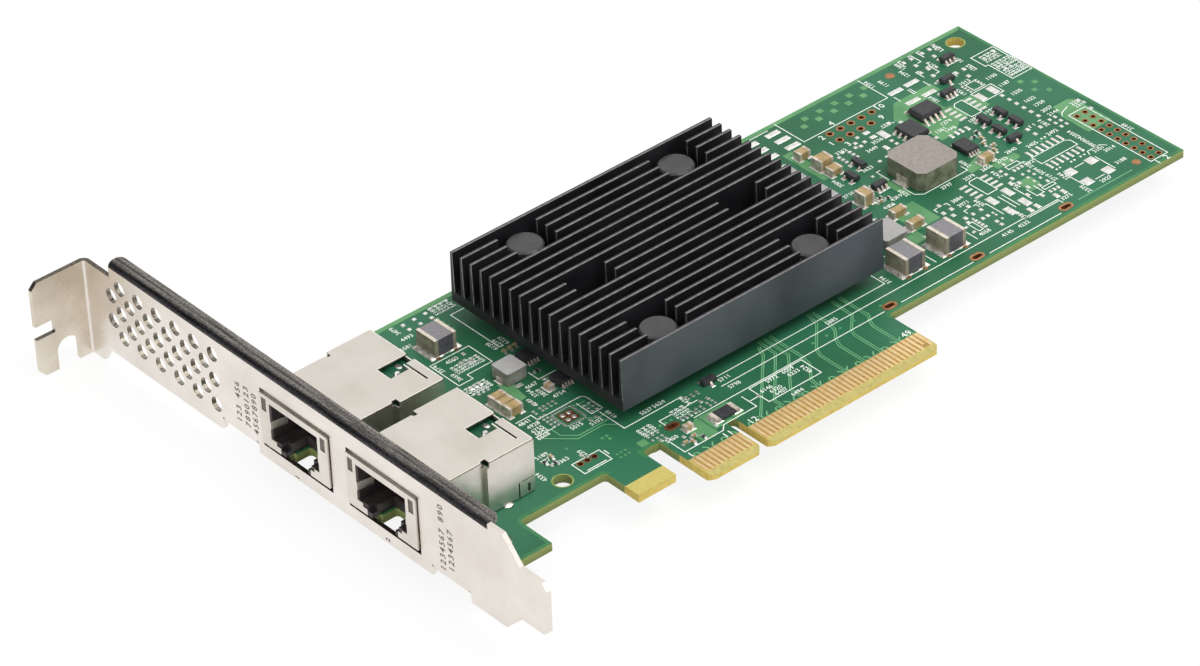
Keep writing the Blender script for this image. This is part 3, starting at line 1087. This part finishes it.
# %% Print on the bracket
legend = number("1", -49.2, -2.8, 1.1, 90) + number("2", -25.9, -2.5, 1.1, 90)
for text, y, z in (("123 456", 64.0, 4.65), ("7890123", 61.7, 4.8), ("4567890", 59.6, 4.4),
                   ("1234567 890", 11.8, 5.9), ("1234567", 9.7, 4.4)):
    legend += number(text, -y, z, 1.35, 90, 0.9)
on_face = Matrix(((0, 0, -1), (-1, 0, 0), (0, 1, 0)))
lay("bracket_numerals", legend, 0.02, "dark_grey_pad_print", False, on_face, (bracket_face, 0, 0))

# %% [markdown]
# ## Small things on and under the larger parts
# Each jack's top window shows a bead of solder on its inner board, and the jack's pins and the legs
# of its shell are soldered below the board, with a thin collar above. The same pad tree makes all
# of them, with many sides.

# %% Solder at the jacks
LEG_X, LEG_INSET = -40.8, 0.12
beads = []
joints = []
collars = []
for jack in ("jack_1_", "jack_2_"):
    low, high = [Vector(corner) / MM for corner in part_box(jack + "inner_board")]
    middle_y = (low.y + high.y) / 2
    beads += [(high.x - 3.2, middle_y - 2.0, high.z, 1.5, 1.3, 0.5, 0),
              (high.x - 1.6, middle_y - 0.25, high.z, 1.1, 1.6, 0.12, 0)]
    for low, high in islands(jack + "board_pins"):
        joints.append(((low[0] + high[0]) / 2, (low[1] + high[1]) / 2, BOARD_LOW, 1.3, 1.3, -0.55, 0))
    low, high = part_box(jack + "shell")
    for y in (low[1] / MM + LEG_INSET, high[1] / MM - LEG_INSET):
        joints.append((LEG_X, y, BOARD_LOW, 2.2, 2.0, -0.6, 0))
        collars.append((LEG_X, y, SOLDER, 1.9, 1.3, 0.15, 0))
set_pads("jack_solder_beads", beads, "frozen_tin_solder", 14, 0.55)
set_pads("solder_joints_below", joints, "frozen_tin_solder", 14, 0.5, down=True)
set_pads("solder_at_shell_legs", collars, "frozen_tin_solder", 14, 0.6)

# %% [markdown]
# Some chips are too small to be solids of their own, 1.0 by 0.55 mm. They are set by the pad tree,
# once for the bodies, and once for the two ends of each with the solder beside them.

# %% Chips too small to be solids
ends = []
for name, finish, slot, height, text in (
        ("tiny_capacitors", "fired_tan_ceramic", "ceramic", 0.5,
         """-9.4,9.4,0 -8.3,8.7,90 -7.2,9.9,0 86.6,35.2,90 87.4,36.6,0 86.6,38,90 87.6,39.4,90 -14.3,49.1,90
         -13,49.2,90 -11.8,49.3,90 61.2,37.6,0 -27.7,21.6,90"""),
        ("tiny_resistors", "black_moulding_epoxy", "package_plastic", 0.36,
         "-29.4,21.2,90 -28.4,20,0 -6.1,8.6,90 62.8,37.6,0 61.8,38.6,0 86.8,40.8,0 88.4,41.4,90 -14,41.3,0")):
    places = drawn(text)[0]
    set_pads(name, [(x, y, 0.05, 0.62, 0.52, height - 0.03, turn) for x, y, turn in places], finish, 4, 0.94)
    for x, y, turn in places:
        for out, *shape in ((0.4, 0.02, 0.24, 0.56, height), (0.58, SOLDER, 0.5, 0.62, EMPTY_PAD_HEIGHT)):
            for side in (-out, out):
                dx, dy = rotated(side, 0, turn)
                ends.append((x + dx, y + dy, *shape, turn))
set_pads("tiny_chip_ends", ends, "frozen_tin_solder", 4, 0.9)

# %% [markdown]
# ## Worn edges
# The fins were cut after dyeing, so the corner of each tip shows a line of paler metal. The folded
# edges of the jack shells show a bright line on top and a dark one on the side. The lines are found
# on the solids themselves, and each is a strip 0.2 to 0.3 mm wide that lies on the edge.

# %% Strips along edges
SHARP = 0.5  # radians; an edge that turns outwards by less carries no strip


def strips_along(name, nodes, steps_for, material):
    """Strips on chosen edges of solids; steps_for gives each its inward and outward step, in millimetres."""
    corners = []
    faces = []
    for node in nodes:
        solid = welded(node)
        for edge in solid.edges:
            if len(edge.link_faces) != 2 or edge.calc_face_angle_signed(0) < SHARP:
                continue
            side, top = sorted((f.normal.copy() for f in edge.link_faces), key=lambda n: (round(n.y, 3), -n.x))
            ends = [v.co / MM for v in edge.verts]
            found = steps_for(side, top, ends)
            if found is None:
                continue
            inward, outward = Vector(found[0]), Vector(found[1])
            quad = [p + outward for p in (ends[0], ends[1], ends[1] + inward, ends[0] + inward)]
            if (quad[1] - quad[0]).cross(quad[2] - quad[1]).dot(outward) < 0:
                quad.reverse()
            faces.append(tuple(range(len(corners), len(corners) + 4)))
            corners += quad
        solid.free()
    build(name, corners, faces, material)


SQUARE, LIFT = 0.99, 0.01  # how far a normal leans along its axis; how far a strip stands off
SHELL_TOP = 8  # the folds are the shell's edges above this height
fin_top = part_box("heatsink")[1][2] / MM


def on_fins(side, top, ends):
    """On the near edge of each fin: along its top, and down its end."""
    if side.y <= -SQUARE:
        if top.z > SQUARE and ends[0].z > fin_top - 0.01:
            return (0, 0.32, 0), (0, 0, LIFT)
        if top.x < -SQUARE and abs(ends[0].z - ends[1].z) > 3:
            return (0, 0.26, 0), (-LIFT, 0, 0)


def on_shell_tops(side, top, ends):
    """On the top of a shell, along its near and far folds."""
    if top.z > SQUARE and min(ends[0].z, ends[1].z) > SHELL_TOP:
        if side.y < -SQUARE:
            return (0, 0.2, 0), (0, 0, LIFT)
        if side.x > SQUARE:
            return (-0.2, 0, 0), (0, 0, LIFT)


def on_shell_sides(side, top, ends):
    """On the near side of a shell, just below its fold."""
    if top.z > SQUARE and side.y < -SQUARE and min(ends[0].z, ends[1].z) > SHELL_TOP:
        return (0, 0, -0.22), (0, -LIFT, 0)


shells = ("jack_1_shell", "jack_2_shell")
strips_along("worn_fin_edges", ["heatsink"], on_fins, "worn_anodised_edge")
strips_along("bright_shell_folds", shells, on_shell_tops, "bright_fold_line")
strips_along("dark_shell_folds", shells, on_shell_sides, "dark_fold_line")

# %% [markdown]
# ## Springs
# The push pins' springs arrive as plain six-sided coils. Here each is wound again as round wire:
# the end turns lie flat, as on a real compression spring, and the middle turns rise evenly.

# %% Round wire springs
WIRE = 0.235  # the wire's radius
SIDE_INSET, END_INSET = 0.225, 0.24  # from the box of a plain coil to the middle of the round wire
TURNS, POINTS_A_TURN, FLAT_TURNS = 4.5, 20, 0.8
spring_curve = bpy.data.curves.new("springs", "CURVE")
spring_curve.dimensions = "3D"
spring_curve.bevel_depth = WIRE * MM
spring_curve.bevel_resolution = 2
spring_curve.use_fill_caps = True
for low, high in islands("heatsink_springs"):
    centre = (Vector(low) + Vector(high)) / 2
    radius = (high[1] - low[1]) / 2 - SIDE_INSET
    bottom, top = low[2] + END_INSET, high[2] - END_INSET
    spline = spring_curve.splines.new("POLY")
    count = int(TURNS * POINTS_A_TURN)
    spline.points.add(count)
    for i, point in enumerate(spline.points):
        done = TURNS * i / count
        rise = min(1.0, max(0.0, (done - FLAT_TURNS) / (TURNS - 2 * FLAT_TURNS)))
        angle = 2 * math.pi * done
        point.co = ((centre.x + radius * math.cos(angle)) * MM, (centre.y + radius * math.sin(angle)) * MM,
                    (bottom + (top - bottom) * rise) * MM, 1)
coils = meshed(spring_curve)
coils.polygons.foreach_set("use_smooth", [True] * len(coils.polygons))
coil_piece = settle("round_wire_springs", coils, "drawn_steel_wire")
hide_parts("heatsink_springs")
